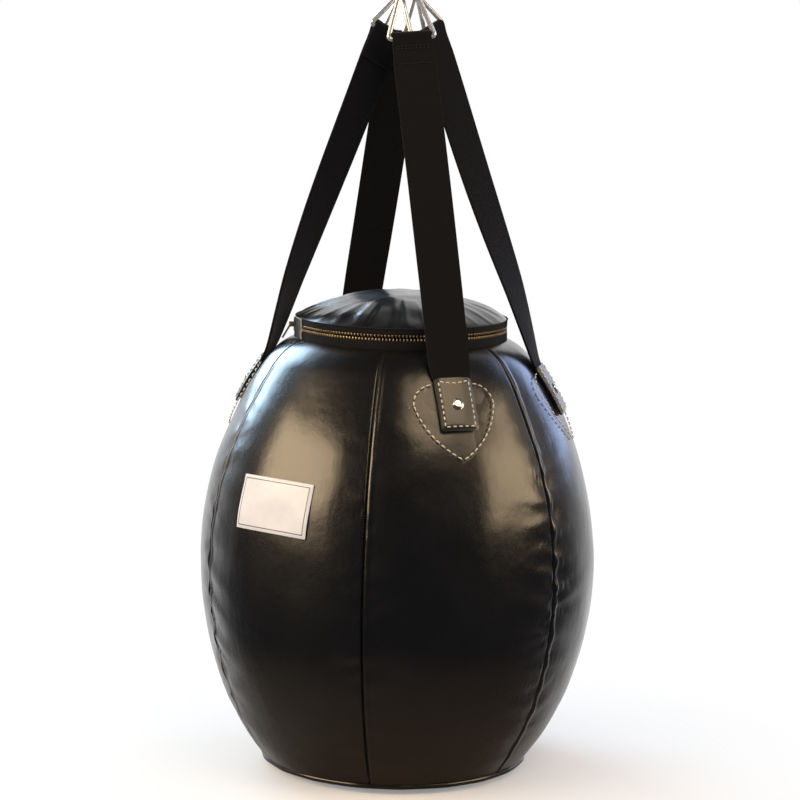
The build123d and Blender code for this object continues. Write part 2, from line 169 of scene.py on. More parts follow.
class Shader:
    """One material and the few calls that fill its node tree."""

    def __init__(self, name, colour, roughness, metallic=0.0, coat=0.0, specular=0.5):
        self.material = bpy.data.materials.new(name)
        self.material.use_nodes = True
        self.tree = self.material.node_tree
        self.surface = self.tree.nodes["Principled BSDF"]
        self.material.diffuse_color = (*colour, 1)
        self.set("Base Color", (*colour, 1))
        self.set("Roughness", roughness)
        self.set("Metallic", metallic)
        self.set("Coat Weight", coat)
        self.set("Specular IOR Level", specular)
        self.colour = colour

    def set(self, socket, value):
        if isinstance(value, Val):
            self.tree.links.new(value.socket, self.surface.inputs[socket])
        else:
            self.surface.inputs[socket].default_value = value

    def node(self, kind, settings, values, output=0):
        made = self.tree.nodes.new(kind)
        for key, value in settings.items():
            setattr(made, key, value)
        pairs = values.items() if isinstance(values, dict) else enumerate(values)
        for key, value in pairs:
            if isinstance(value, Val):
                self.tree.links.new(value.socket, made.inputs[key])
            else:
                made.inputs[key].default_value = value
        return Val(self, made.outputs[output])

    def place(self):
        return self.node("ShaderNodeTexCoord", {}, {}, "Object")

    def uv(self):
        return self.node("ShaderNodeTexCoord", {}, {}, "UV")

    def stretched(self, vector, scale):
        return self.node("ShaderNodeMapping", {}, {"Vector": vector, "Scale": scale})

    def grain(self, scale, detail=3.0, roughness=0.5, vector=None):
        vector = vector or self.place()
        return self.node("ShaderNodeTexNoise", {}, {"Vector": vector, "Scale": scale, "Detail": detail,
                                                    "Roughness": roughness})

    def cells(self, scale, vector=None):
        vector = vector or self.place()
        return self.node("ShaderNodeTexVoronoi", {"feature": "DISTANCE_TO_EDGE"},
                         {"Vector": vector, "Scale": scale})

    def split(self, vector):
        return [self.node("ShaderNodeSeparateXYZ", {}, [vector], axis) for axis in range(3)]

    def mix(self, factor, first, second):
        """Colour between two colours."""
        first = first if isinstance(first, Val) else (*first, 1)
        second = second if isinstance(second, Val) else (*second, 1)
        return self.node("ShaderNodeMix", {"data_type": "RGBA"}, {0: factor, 6: first, 7: second}, 2)

    def bump(self, *layers):
        """Layers of (height, distance in metres, strength), the coarsest first."""
        normal = None
        for height, distance, strength in layers:
            values = {"Height": height, "Distance": distance, "Strength": strength}
            if normal:
                values["Normal"] = normal
            normal = self.node("ShaderNodeBump", {}, values)
        self.set("Normal", normal)


def shade(colour, factor):
    return tuple(min(1.0, c * factor) for c in colour)


def leather(name, gloss, crease, specular=0.7, painted_sheen_gain=1.0):
    """Finished black hide: soft lumps, drawn lines down the panel and a fine pebble; a gain over 1 lightens
    its base colour as painted sheen.
    """
    s = Shader(name, shade(sizes().leather, painted_sheen_gain), gloss, coat=0.5, specular=specular)
    s.surface.inputs["Coat Roughness"].default_value = 0.22
    clouds = s.grain(9.0, 4.0)
    fine = s.grain(160.0, 2.0)
    drawn = s.grain(1.0, 3.0, vector=s.stretched(s.place(), (62.0, 62.0, 13.0)))
    s.set("Base Color", s.mix(clouds.clamp(0.35, 0.7), shade(s.colour, 0.6), shade(s.colour, 1.4)))
    s.set("Roughness", clouds * 0.14 + fine * 0.06 + (gloss - 0.10))
    s.bump((s.grain(24.0, 3.0), 0.0018, crease), (drawn, 0.0010, crease * 0.8),
           (s.grain(520.0, 3.0, 0.6), 0.00022, 0.45))
    return s.material


def raw_edge():
    """The pale fibrous cut edge of a hide."""
    s = Shader("raw_leather_edge", sizes().raw_edge, 0.85, specular=0.3)
    fibres = s.grain(700.0, 3.0)
    s.set("Base Color", s.mix(fibres.clamp(0.3, 0.7), shade(s.colour, 0.55), shade(s.colour, 1.3)))
    s.bump((fibres, 0.0003, 0.6))
    return s.material


def woven(name, colour, across, along, sheen=0.15):
    """Webbing or tape: ribs and picks on the piece's own UV map, which is in metres."""
    s = Shader(name, colour, 0.92, specular=0.12)
    s.surface.inputs["Sheen Weight"].default_value = sheen
    s.surface.inputs["Sheen Roughness"].default_value = 0.4
    u, v, _ = s.split(s.uv())
    ribs = (u * (math.tau / across)).sine()
    picks = (v * (math.tau / along)).sine()
    weave = (ribs * picks) * 0.5 + 0.5
    fuzz = s.grain(1400.0, 2.0)
    s.set("Base Color", s.mix(weave * 0.6 + fuzz * 0.4, shade(colour, 0.5), shade(colour, 1.7)))
    s.set("Roughness", 0.84 + fuzz * 0.14)
    s.bump((weave, 0.00035, 0.8), (fuzz, 0.0002, 0.4))
    return s.material


def thread(name, colour):
    s = Shader(name, colour, 0.72, specular=0.3)
    ply = s.grain(1500.0, 2.0)
    s.set("Base Color", s.mix(ply.clamp(0.3, 0.7), shade(colour, 0.6), shade(colour, 1.25)))
    s.bump((ply, 0.0002, 0.6))
    return s.material


def metal(name, colour, roughness, wear=0.1, metallic=1.0):
    """Polished or cast metal with smears and fine scratches."""
    s = Shader(name, colour, roughness, metallic=metallic)
    smear = s.grain(60.0, 4.0)
    scratch = s.grain(300.0, 2.0, vector=s.stretched(s.place(), (1.0, 1.0, 6.0)))
    s.set("Roughness", smear * wear + scratch * (wear * 0.6) + (roughness - wear * 0.6))
    s.set("Base Color", s.mix(smear.clamp(0.3, 0.75), shade(colour, 0.82), shade(colour, 1.08)))
    s.bump((scratch, 0.00005, 0.35))
    return s.material


def packed(name, colour, scale, depth):
    """Foam, lining cloth or packed rags inside the bag."""
    s = Shader(name, colour, 0.95, specular=0.1)
    lumps = s.grain(scale, 4.0)
    pores = s.cells(scale * 9).clamp(0.0, 0.3)
    s.set("Base Color", s.mix(lumps.clamp(0.3, 0.7), shade(colour, 0.6), shade(colour, 1.3)))
    s.set("Roughness", 0.85 + pores * 0.12)
    s.bump((lumps, depth, 0.6), (pores, depth * 0.2, 0.5))
    return s.material


LABEL_HALF_WIDTH, LABEL_HALF_HEIGHT = 0.0525, 0.031
LABEL_LINE_OUT, LABEL_LINE_IN = 0.0034, 0.0043   # the border line's edges, in from the label's edge


def label_face():
    """A plain face with one thin border line."""
    s = Shader("label_face", sizes().label, 0.38, coat=0.15)
    u, v, _ = s.split(s.uv())
    away_u = (u - 0.5).absolute() * (2 * LABEL_HALF_WIDTH)
    away_v = (v - 0.5).absolute() * (2 * LABEL_HALF_HEIGHT)
    soft = 0.0002

    def within(inset):
        return ((LABEL_HALF_WIDTH - inset - away_u).clamp(-soft, soft)
                * (LABEL_HALF_HEIGHT - inset - away_v).clamp(-soft, soft))

    line = within(LABEL_LINE_OUT) - within(LABEL_LINE_IN)
    dust = s.grain(90.0, 4.0)
    face = s.mix(dust.clamp(0.3, 0.8), shade(s.colour, 0.93), s.colour)
    s.set("Base Color", s.mix(line, face, (0.03, 0.035, 0.06)))
    s.bump((s.grain(500.0, 2.0), 0.0001, 0.25))
    return s.material


MATERIALS = {}


def material(name):
    """The named material, made the first time it is asked for."""
    makers = {
        "cover_leather": lambda: leather("cover_leather", 0.29, 0.55),
        "lid_leather": lambda: leather("lid_leather", 0.32, 0.5),
        # The heart patches' base colour is three times the cover's: painted sheen for the light their raised,
        # tilted faces catch.
        "patch_leather": lambda: leather("patch_leather", 0.42, 0.8, 1.0, 3.0),
        "raw_leather_edge": raw_edge,
        "strap_webbing": lambda: woven("strap_webbing", sizes().webbing, 0.0030, 0.0022),
        "zipper_cloth": lambda: woven("zipper_cloth", shade(sizes().webbing, 1.6), 0.0016, 0.0016, 0.1),
        "cream_thread": lambda: thread("cream_thread", sizes().thread),
        "black_thread": lambda: thread("black_thread", (0.02, 0.02, 0.022)),
        "zipper_brass": lambda: metal("zipper_brass", sizes().brass, 0.34, 0.14),
        "polished_rivet": lambda: metal("polished_rivet", (0.80, 0.79, 0.76), 0.14, 0.08),
        "ring_chrome": lambda: metal("ring_chrome", (0.90, 0.91, 0.93), 0.16, 0.08, 0.72),
        "carabiner_steel": lambda: metal("carabiner_steel", (0.62, 0.63, 0.65), 0.26, 0.12, 0.95),
        "padding_foam": lambda: packed("padding_foam", (0.16, 0.16, 0.17), 60.0, 0.0012),
        "lining_cloth": lambda: packed("lining_cloth", (0.05, 0.05, 0.06), 150.0, 0.0006),
        "packed_rags": lambda: packed("packed_rags", (0.24, 0.21, 0.18), 40.0, 0.0025),
        "label_face": label_face,
    }
    if name not in MATERIALS:
        MATERIALS[name] = makers[name]()
    return MATERIALS[name]


# ---------------------------------------------------------------- the body's outline
def heading(azimuth):
    a = math.radians(azimuth)
    return Vector((math.sin(a), -math.cos(a), 0))


class Outline:
    """The side of the bag: four arcs that run into one another, from the foot to the mouth."""

    def __init__(self):
        g = sizes()
        pitch = g.mouth_pitch
        self.shoulder = Vector((g.mouth_radius - g.shoulder_bow * math.cos(pitch),
                                PANEL_TOP - MOUTH_Z - g.shoulder_bow * math.sin(pitch)))
        self.foot = Vector((FOOT_RADIUS, FOOT_Z - MOUTH_Z + g.foot_bow))
        wide = -g.widest_drop
        self.upper_bow = self.bow(g.widest_radius - self.shoulder.x, self.shoulder.y - wide, g.shoulder_bow)
        self.lower_bow = self.bow(g.widest_radius - self.foot.x, wide - self.foot.y, g.foot_bow)
        self.upper = Vector((g.widest_radius - self.upper_bow, wide))
        self.lower = Vector((g.widest_radius - self.lower_bow, wide))
        self.shoulder_turn = math.atan2(self.shoulder.y - wide, self.shoulder.x - self.upper.x)
        self.foot_turn = math.atan2(wide - self.foot.y, self.foot.x - self.lower.x)
        quarter = math.pi / 2
        self.arcs = [(self.foot, g.foot_bow, -quarter, -self.foot_turn),
                     (self.lower, self.lower_bow, -self.foot_turn, 0.0),
                     (self.upper, self.upper_bow, 0.0, self.shoulder_turn),
                     (self.shoulder, g.shoulder_bow, self.shoulder_turn, pitch)]
        self.length = sum(r * (b - a) for _, r, a, b in self.arcs)

    @staticmethod
    def bow(across, along, small):
        return (across ** 2 + along ** 2 - small ** 2) / (2 * (across - small))

    def at(self, distance):
        """(radius, height above the zipper's middle, outward turn) at a distance up from the foot."""
        for centre, radius, start, end in self.arcs:
            run = radius * (end - start)
            if distance <= run or (centre, radius, start, end) == self.arcs[-1]:
                turn = start + distance / radius
                return centre.x + radius * math.cos(turn), centre.y + radius * math.sin(turn), turn
            distance -= run

    def distance_of(self, point):
        """Distance up from the foot of a point on the upper side."""
        turn = math.atan2(point.z - MOUTH_Z - self.upper.y, math.hypot(point.x, point.y) - self.upper.x)
        foot, lower = [radius * (end - start) for _, radius, start, end in self.arcs[:2]]
        return foot + lower + self.upper_bow * turn

    def height_over(self, point):
        """How far a point stands outside the cover."""
        flat = Vector((math.hypot(point.x, point.y), point.z - MOUTH_Z))
        turn = math.atan2(flat.y - self.upper.y, flat.x - self.upper.x)
        if turn > self.shoulder_turn:
            return (flat - self.shoulder).length - sizes().shoulder_bow
        if turn < 0:
            return (flat - self.lower).length - self.lower_bow
        return (flat - self.upper).length - self.upper_bow


class Square:
    """A flat plane against the bag, square to its surface: x to growing azimuth, y up."""

    def __init__(self, outline, azimuth, turn):
        self.outline = outline
        out = heading(azimuth)
        r = outline.upper.x + outline.upper_bow * math.cos(turn)
        z = outline.upper.y + outline.upper_bow * math.sin(turn)
        self.origin = out * r + Vector((0, 0, MOUTH_Z + z))
        self.normal = out * math.cos(turn) + Vector((0, 0, math.sin(turn)))
        self.x = heading(azimuth + 90)
        self.y = self.normal.cross(self.x)

    def flat(self, x, y, z=0.0):
        return self.origin + self.x * x + self.y * y + self.normal * z

    def drop(self, x, y, lift):
        """The point over (x, y) that stands lift above the smooth body."""
        point = self.flat(x, y)
        for _ in range(5):
            point = point - self.normal * ((self.outline.height_over(point) - lift) / 0.97)
        return point

    def lay(self, x, y, lift):
        """The point over (x, y) that stands lift above the leather as it lies."""
        point = self.drop(x, y, 0)
        azimuth = math.degrees(math.atan2(point.x, -point.y))
        return self.drop(x, y, lift + cover_swell(azimuth, self.outline.distance_of(point), self.outline))


def cover_swell(azimuth, distance, outline):
    """How far the leather stands off the smooth body: crowned panels, seam valleys and puckers."""
    g = sizes()
    nearest = round((azimuth - 30) / 60) * 60 + 30
    away = math.radians(azimuth - nearest) * outline.at(distance)[0]
    end = min(distance, outline.length - distance)
    ease = min(1.0, end / 0.05)
    span = abs(math.sin(math.radians((azimuth - 30) * 3)))
    swell = g.panel_crown * (span - 0.4) * ease
    swell -= g.seam_depth * math.exp(-(away / g.seam_width) ** 2) * (0.35 + 0.65 * ease)
    swell += 0.0007 * math.exp(-((away - 0.0045) / 0.0028) ** 2) * ease
    for up, side, reach, width, depth, slope in PUCKERS[int(nearest) % 360]:
        along = away * side
        if 0 < along < reach * 2.2:
            off = (distance - up - slope * along) / (width * (1 + along / reach * 0.5))
            if abs(off) < 2.5:
                fade = math.exp(-(along / reach) ** 2) * min(1.0, along / 0.005)
                swell += depth * fade * (math.exp(-off * off) * 1.3 - 0.45)
    place = heading(azimuth) * 0.24 + Vector((0, 0, distance))
    swell += 0.0020 * noise.noise(place * 7.0) * ease
    swell += 0.0009 * noise.noise(place * 19.0 + Vector((7, 3, 1))) * ease
    return swell


def make_puckers():
    """Seeded folds that leave each seam, by the seam's azimuth."""
    rng = random.Random(11)
    found = {}
    for seam in range(30, 390, 60):
        rows = []
        strength = 0.55 if seam == 30 else 1.0
        for side in (-1, 1):
            up = 0.045
            while up < 0.53:
                middle = math.exp(-((up - 0.25) / 0.16) ** 2)
                rows.append((up, side, rng.uniform(0.014, 0.052), rng.uniform(0.0050, 0.0115),
                             strength * rng.uniform(0.0006, 0.0021) * (0.25 + 0.75 * middle),
                             rng.uniform(-0.45, 0.45)))
                up += rng.uniform(0.016, 0.044)
        found[seam % 360] = rows
    return found


PUCKERS = make_puckers()


# ---------------------------------------------------------------- modelling helpers
def clear_selection():
    if bpy.context.mode != "OBJECT":
        bpy.ops.object.mode_set(mode="OBJECT")
    bpy.ops.object.select_all(action="DESELECT")


def choose(piece):
    clear_selection()
    piece.select_set(True)
    bpy.context.view_layer.objects.active = piece


def keep_in_mesh(piece):
    """Moves the object's own place into its mesh."""
    piece.data.transform(piece.matrix_world)
    piece.matrix_world = Matrix.Identity(4)


def grid(name, columns, rows, place, uv=None):
    """A primitive grid whose vertices are taken to place(u, v), each of u and v from 0 to 1."""
    clear_selection()
    bpy.ops.mesh.primitive_grid_add(x_subdivisions=columns, y_subdivisions=rows, size=2)
    piece = bpy.context.object
    piece.name = name
    piece.data.name = name
    flat = [((v.co.x + 1) / 2, (v.co.y + 1) / 2) for v in piece.data.vertices]
    layer = piece.data.uv_layers.active.data
    for loop in piece.data.loops:
        u, v = flat[loop.vertex_index]
        layer[loop.index].uv = uv(u, v) if uv else (u, v)
    for vertex, (u, v) in zip(piece.data.vertices, flat):
        vertex.co = place(u, v)
    piece.data.update()
    return piece


def apply(piece, kind, **settings):
    choose(piece)
    made = piece.modifiers.new(kind.title(), kind)
    for key, value in settings.items():
        setattr(made, key, value)
    bpy.ops.object.modifier_apply(modifier=made.name)


def weld(piece, distance=0.00002):
    """Merges doubles and turns every face outward."""
    choose(piece)
    bpy.ops.object.mode_set(mode="EDIT")
    bpy.ops.mesh.select_all(action="SELECT")
    bpy.ops.mesh.remove_doubles(threshold=distance)
    bpy.ops.mesh.normals_make_consistent(inside=False)
    bpy.ops.object.mode_set(mode="OBJECT")


def smooth(piece, angle=35):
    choose(piece)
    bpy.ops.object.shade_smooth_by_angle(angle=math.radians(angle))


def finish_piece(piece, body, names, replaces=()):
    """Gives a piece its materials, its body and what it stands for."""
    for name in names:
        piece.data.materials.append(material(name))
    if body:
        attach(piece, body)
    if replaces:
        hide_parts(*replaces)
    return piece


def cut_leather(piece, thickness, rim=1):
    """Thickens a sheet of trim leather outward; with rim 1 its cut edge shows the raw hide."""
    for name in ("patch_leather", "raw_leather_edge"):
        piece.data.materials.append(material(name))
    apply(piece, "SOLIDIFY", thickness=thickness, offset=1, material_offset_rim=rim)


def joined(name, pieces):
    clear_selection()
    for piece in pieces:
        piece.select_set(True)
    bpy.context.view_layer.objects.active = pieces[0]
    bpy.ops.object.join()
    pieces[0].name = name
    pieces[0].data.name = name
    return pieces[0]


def copies(name, model, matrices):
    """One mesh that holds a copy of model at each matrix; model is used up."""
    made = bmesh.new()
    for matrix in matrices:
        start = len(made.verts)
        made.from_mesh(model.data)
        made.verts.ensure_lookup_table()
        bmesh.ops.transform(made, matrix=matrix, verts=made.verts[start:])
    mesh = bpy.data.meshes.new(name)
    made.to_mesh(mesh)
    made.free()
    for polygon in mesh.polygons:
        polygon.use_smooth = True
    piece = bpy.data.objects.new(name, mesh)
    bpy.context.collection.objects.link(piece)
    bpy.data.objects.remove(model, do_unlink=True)
    return piece


def frame_at(origin, forward, up):
    """Matrix with x along forward and z near up."""
    x = forward.normalized()
    y = up.cross(x).normalized()
    z = x.cross(y)
    return Matrix.Translation(origin) @ Matrix((x, y, z)).transposed().to_4x4()


def stitch_model(length, radius):
    """One stitch along x, its ends sunk: a round bar with tapered, dipped ends."""
    clear_selection()
    bpy.ops.mesh.primitive_cylinder_add(vertices=6, radius=radius, depth=length, rotation=(0, math.pi / 2, 0))
    piece = bpy.context.object
    keep_in_mesh(piece)
    bpy.ops.object.mode_set(mode="EDIT")
    bpy.ops.mesh.select_all(action="SELECT")
    for cut in (-0.32, -0.12, 0.12, 0.32):
        bpy.ops.mesh.select_all(action="SELECT")
        bpy.ops.mesh.bisect(plane_co=(cut * length, 0, 0), plane_no=(1, 0, 0))
    bpy.ops.object.mode_set(mode="OBJECT")
    for vertex in piece.data.vertices:
        t = abs(vertex.co.x) / (length / 2)
        vertex.co.y *= 1 - 0.45 * t ** 2
        vertex.co.z = vertex.co.z * (1 - 0.45 * t ** 2) + radius * (0.25 - 1.1 * t ** 3)
    return piece


def stitched(name, paths, body, thread_name, pitch=None, radius=0.00095):
    """Stitches along paths; each path is a list of (point, outward normal)."""
    pitch = pitch or sizes().stitch_pitch
    matrices = []
    for path in paths:
        lengths = [0.0]
        for (a, _), (b, _) in zip(path, path[1:]):
            lengths.append(lengths[-1] + (b - a).length)
        count = max(1, round(lengths[-1] / pitch))
        for n in range(count):
            goal = (n + 0.5) * lengths[-1] / count
            i = next(k for k in range(1, len(lengths)) if lengths[k] >= goal)
            t = (goal - lengths[i - 1]) / max(1e-9, lengths[i] - lengths[i - 1])
            (a, na), (b, nb) = path[i - 1], path[i]
            matrices.append(frame_at(a.lerp(b, t), b - a, na.lerp(nb, t)))
    piece = copies(name, stitch_model(pitch * 0.70, radius), matrices)
    return finish_piece(piece, body, [thread_name])


# ---------------------------------------------------------------- rings' places
BAR_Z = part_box("carabiner_body")[0].z + 0.0045
BAR_AZIMUTH = 39.0
RING_LENGTH = 0.0482         # arch centre to base wire, with the arch's drop onto the bar
LOOP_RADIUS = 0.00465        # middle of the webbing round the base wire
# seat along the bar, base along and across the bar (metres), turn of the base wire (degrees)
RING_LEAN = {"front": (0.0186, 0.0251, 0.0051, 98.0), "right": (-0.0034, -0.0041, 0.0247, 128.0)}


def from_bar(along, across):
    return heading(BAR_AZIMUTH) * along + heading(BAR_AZIMUTH + 90) * across


def ring_seat(place):
    """(middle of the base wire, direction of the base wire, direction up the ring)."""
    name = {"back": "front", "left": "right"}.get(place, place)
    seat, along, across, turn = RING_LEAN[name]
    flip = 1 if name == place else -1
    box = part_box(f"triangle_ring_{place}")
    base = from_bar(along, across) * flip
    middle_z = box[1].z - RING_TOP_TO_BASE[name]
    middle = base + Vector((0, 0, middle_z))
    up = (from_bar(seat, 0) * flip + Vector((0, 0, BAR_Z)) - middle).normalized()
    a = math.radians(turn)
    wire = from_bar(math.cos(a), math.sin(a)) * flip
    return middle, (wire - up * wire.dot(up)).normalized(), up


def top_to_base(name):
    """Height of a ring's top over the middle of its base wire."""
    seat, along, across, _ = RING_LEAN[name]
    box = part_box(f"triangle_ring_{name}")
    reach = math.sqrt(RING_LENGTH ** 2 - (along - seat) ** 2 - across ** 2)
    return box[1].z - (BAR_Z - reach)


RING_TOP_TO_BASE = {name: top_to_base(name) for name in RING_LEAN}


# ---------------------------------------------------------------- body
def make_cover():
    """Six gores, each a grid that is finest at its two seams."""
    outline = Outline()
    rows = 150
    for n in range(6):
        first = n * 60 - 30

        def place(u, v, first=first):
            azimuth = first + 60 * (u - 0.75 * math.sin(math.tau * u) / math.tau)
            distance = outline.length * v
            r, z, turn = outline.at(distance)
            lift = cover_swell(azimuth, distance, outline)
            out = heading(azimuth)
            point = out * r + Vector((0, 0, MOUTH_Z + z))
            return point + (out * math.cos(turn) + Vector((0, 0, math.sin(turn)))) * lift

        panel = grid(f"leather_panel_{n + 1}", 96, rows, place)
        apply(panel, "SOLIDIFY", thickness=0.0025, offset=-1, use_even_offset=False)
        smooth(panel, 50)
        finish_piece(panel, "bag", ["cover_leather"], [f"cover_panel_{n + 1}"])
        smooth(panel, 50)


def make_foot():
    """The round foot panel and the rolled welt that closes it."""
    def place(u, v):
        a, r = u * math.tau, v * FOOT_RADIUS
        sag = 0.0015 * math.cos(math.pi / 2 * v) + 0.0012 * noise.noise(Vector((math.cos(a) * r * 14,
                                                                               math.sin(a) * r * 14, 3)))
        return Vector((r * math.cos(a), r * math.sin(a), FOOT_Z + 0.0012 - sag * (1 - v)))

    panel = grid("foot_panel", 96, 16, place)
    weld(panel)
    apply(panel, "SOLIDIFY", thickness=0.0022, offset=1)
    smooth(panel, 40)
    finish_piece(panel, "bag", ["cover_leather"], ["bottom_panel"])
    clear_selection()
    bpy.ops.mesh.primitive_torus_add(major_radius=FOOT_RADIUS + 0.0125, minor_radius=0.0034,
                                     major_segments=144, minor_segments=10,
                                     location=(0, 0, FOOT_Z + 0.0058))
    welt = bpy.context.object
    welt.name = "foot_welt"
    keep_in_mesh(welt)
    for vertex in welt.data.vertices:
        flat = Vector((vertex.co.x, vertex.co.y, 0))
        azimuth = math.degrees(math.atan2(flat.x, -flat.y))
        vertex.co += flat.normalized() * 0.0009 * math.sin(math.radians(azimuth * 19)) * 0.5
    smooth(welt, 80)
    finish_piece(welt, "bag", ["cover_leather"])


# ---------------------------------------------------------------- patches on the body
HEART_TURN = math.radians(28.0)
HEART_HALF, HEART_TOP, HEART_NOTCH, HEART_TIP = 0.053, 0.044, 0.030, 0.056
HEART_THICKNESS, STRAP_THICKNESS, TAB_THICKNESS = 0.0025, 0.003, 0.0025
TAB_HALF, TAB_TOP, TAB_BOTTOM = 0.022, 0.046, -0.017
RIVET_UP = 0.013
STITCH_INSET = 0.0042
SEWN_HALF = 0.0235           # half the strap's width where it covers the heart
RIM_LEAN = 0.026             # how much smaller a heart's face is than its underside


def circle_through(a, b, c):
    """Centre and radius of the circle through three flat points."""
    d = 2 * (a.x * (b.y - c.y) + b.x * (c.y - a.y) + c.x * (a.y - b.y))
    aa, bb, cc = a.length_squared, b.length_squared, c.length_squared
    centre = Vector(((aa * (b.y - c.y) + bb * (c.y - a.y) + cc * (a.y - b.y)) / d,
                     (aa * (c.x - b.x) + bb * (a.x - c.x) + cc * (b.x - a.x)) / d))
    return centre, (a - centre).length


WIDE = Vector((HEART_HALF, HEART_NOTCH * 0.55))
LOBE = circle_through(Vector((0, HEART_NOTCH)), Vector((HEART_HALF * 0.55, HEART_TOP)), WIDE)
FLANK = circle_through(WIDE, Vector((HEART_HALF * 0.74, -HEART_TIP * 0.35)), Vector((0, -HEART_TIP)))


def on_circle(circle, x, side, inset=0.0):
    centre, radius = circle
    radius -= inset
    return centre.y + side * math.sqrt(max(0.0, radius ** 2 - (x - centre.x) ** 2))


def arc_points(circle, start, end, inset):
    """Points of a flat arc from one of its points to another, set in by inset."""
    centre, radius = circle
    a, b = [math.atan2(p.y - centre.y, p.x - centre.x) for p in (start, end)]
    turns = [a + (b - a) * n / 28 for n in range(29)]
    return [centre + Vector((math.cos(t), math.sin(t))) * (radius - inset) for t in turns]


def heart_edge(inset):
    """Flat points round the heart's right half, from the strap down to the tip, set in by inset."""
    notch, tip = Vector((0, HEART_NOTCH)), Vector((0, -HEART_TIP))
    rim, row = [arc_points(LOBE, notch, WIDE, i) + arc_points(FLANK, WIDE, tip, i) for i in (0, inset)]
    kept = [p for p in row if p.x > (SEWN_HALF if p.y > 0 else 0.0005)]
    return [p for p in kept if min((p - q).length for q in rim) > inset * 0.93]


def make_heart(place):
    """A heart of leather with its row of stitches; its cut edge slopes so that it shows."""
    outline = Outline()
    square = Square(outline, STRAP_AZIMUTH[place], HEART_TURN)

    def put(u, v):
        x = HEART_HALF * 0.9995 * math.sin((u - 0.5) * math.pi)
        high = on_circle(LOBE, abs(x), 1)
        low = on_circle(FLANK, abs(x), -1)
        wobble = 0.0004 * noise.noise(Vector((x * 60, v * 3, STRAP_AZIMUTH[place])))
        return square.lay(x, low + (high - low) * v, 0.0002 + wobble)

    heart = grid(f"heart_leather_{place}", 56, 36, put)
    weld(heart, 0.0001)
    cut_leather(heart, HEART_THICKNESS)
    top = [face for face in heart.data.polygons
           if face.material_index == 0 and face.normal.dot(square.normal) > 0.3]
    for i in {i for face in top for i in face.vertices}:
        off = heart.data.vertices[i].co - square.origin
        heart.data.vertices[i].co -= (off - square.normal * off.dot(square.normal)) * RIM_LEAN
    smooth(heart, 35)
    finish_piece(heart, "bag", [], [f"heart_patch_{place}"])
    half = heart_edge(STITCH_INSET)
    paths = []
    for side in (1, -1):
        paths.append([(square.lay(x * side, y, HEART_THICKNESS + 0.0003), square.normal) for x, y in half])
    stitched(f"heart_stitches_{place}", paths, "bag", "cream_thread")


def tab_lift(x, y):
    """The tab lies over the strap's end: high in the middle, down on the heart at its rim."""
    edge = min(TAB_HALF - abs(x), y - TAB_BOTTOM)
    t = min(1.0, max(0.0, edge / 0.006))
    return HEART_THICKNESS + 0.0004 + (STRAP_THICKNESS - 0.0006) * t * t * (3 - 2 * t)


def make_tab(place):
    """The leather tab over a strap's sewn end, with a row of stitches round it."""
    outline = Outline()
    square = Square(outline, STRAP_AZIMUTH[place], HEART_TURN)
    corner = 0.0035

    def put(u, v):
        y = TAB_BOTTOM + (TAB_TOP - TAB_BOTTOM) * v
        near = min(y - TAB_BOTTOM, TAB_TOP - y)
        trim = corner - math.sqrt(max(0.0, corner ** 2 - max(0.0, corner - near) ** 2))
        x = (TAB_HALF - trim) * (2 * u - 1)
        return square.lay(x, y, tab_lift(x, y))

    tab = grid(f"tab_leather_{place}", 32, 44, put)
    cut_leather(tab, TAB_THICKNESS, 0)
    smooth(tab, 35)
    finish_piece(tab, "bag", [], [f"strap_tab_{place}"])
    inset = 0.0038
    x, low, high = TAB_HALF - inset, TAB_BOTTOM + inset, TAB_TOP - inset
    corners = [(-x, high), (-x, low), (x, low), (x, high), (-x, high)]
    paths = []
    for (ax, ay), (bx, by) in zip(corners, corners[1:]):
        path = []
        for n in range(9):
            dip = 0.003 * math.sin(math.pi * n / 8) if ay == by == high else 0
            px, py = ax + (bx - ax) * n / 8, ay + (by - ay) * n / 8 - dip
            path.append((square.lay(px, py, tab_lift(px, py) + TAB_THICKNESS + 0.0003), square.normal))
        paths.append(path)
    stitched(f"tab_stitches_{place}", paths, "bag", "cream_thread", 0.0068)


def make_rivets():
    """Domed rivet caps with a flat crown and the washer that each one bears on."""
    outline = Outline()
    caps = []
    for azimuth in STRAP_AZIMUTH.values():
        square = Square(outline, azimuth, HEART_TURN + RIVET_UP / outline.upper_bow)
        seat = HEART_THICKNESS + STRAP_THICKNESS + TAB_THICKNESS
        clear_selection()
        bpy.ops.mesh.primitive_uv_sphere_add(segments=32, ring_count=16, radius=0.0062)
        cap = bpy.context.object
        for vertex in cap.data.vertices:
            h = min(1.0, max(0.0, vertex.co.z) / 0.0062)
            vertex.co.z = 0.0021 * (1 - (1 - h) ** 2.2) if vertex.co.z > 0 else vertex.co.z * 0.08
        clear_selection()
        bpy.ops.mesh.primitive_torus_add(major_radius=0.0063, minor_radius=0.0007, major_segments=40,
                                         minor_segments=8)
        ring = bpy.context.object
        both = joined("cap", [cap, ring])
        turned = Matrix((square.x, square.y, square.normal)).transposed().to_4x4()
        both.data.transform(Matrix.Translation(square.lay(0, 0, seat + 0.0003)) @ turned)
        caps.append(both)
    piece = joined("rivet_caps", caps)
    keep_in_mesh(piece)
    smooth(piece, 40)
    finish_piece(piece, "bag", ["polished_rivet"], ["strap_rivets", "rivet_burrs"])


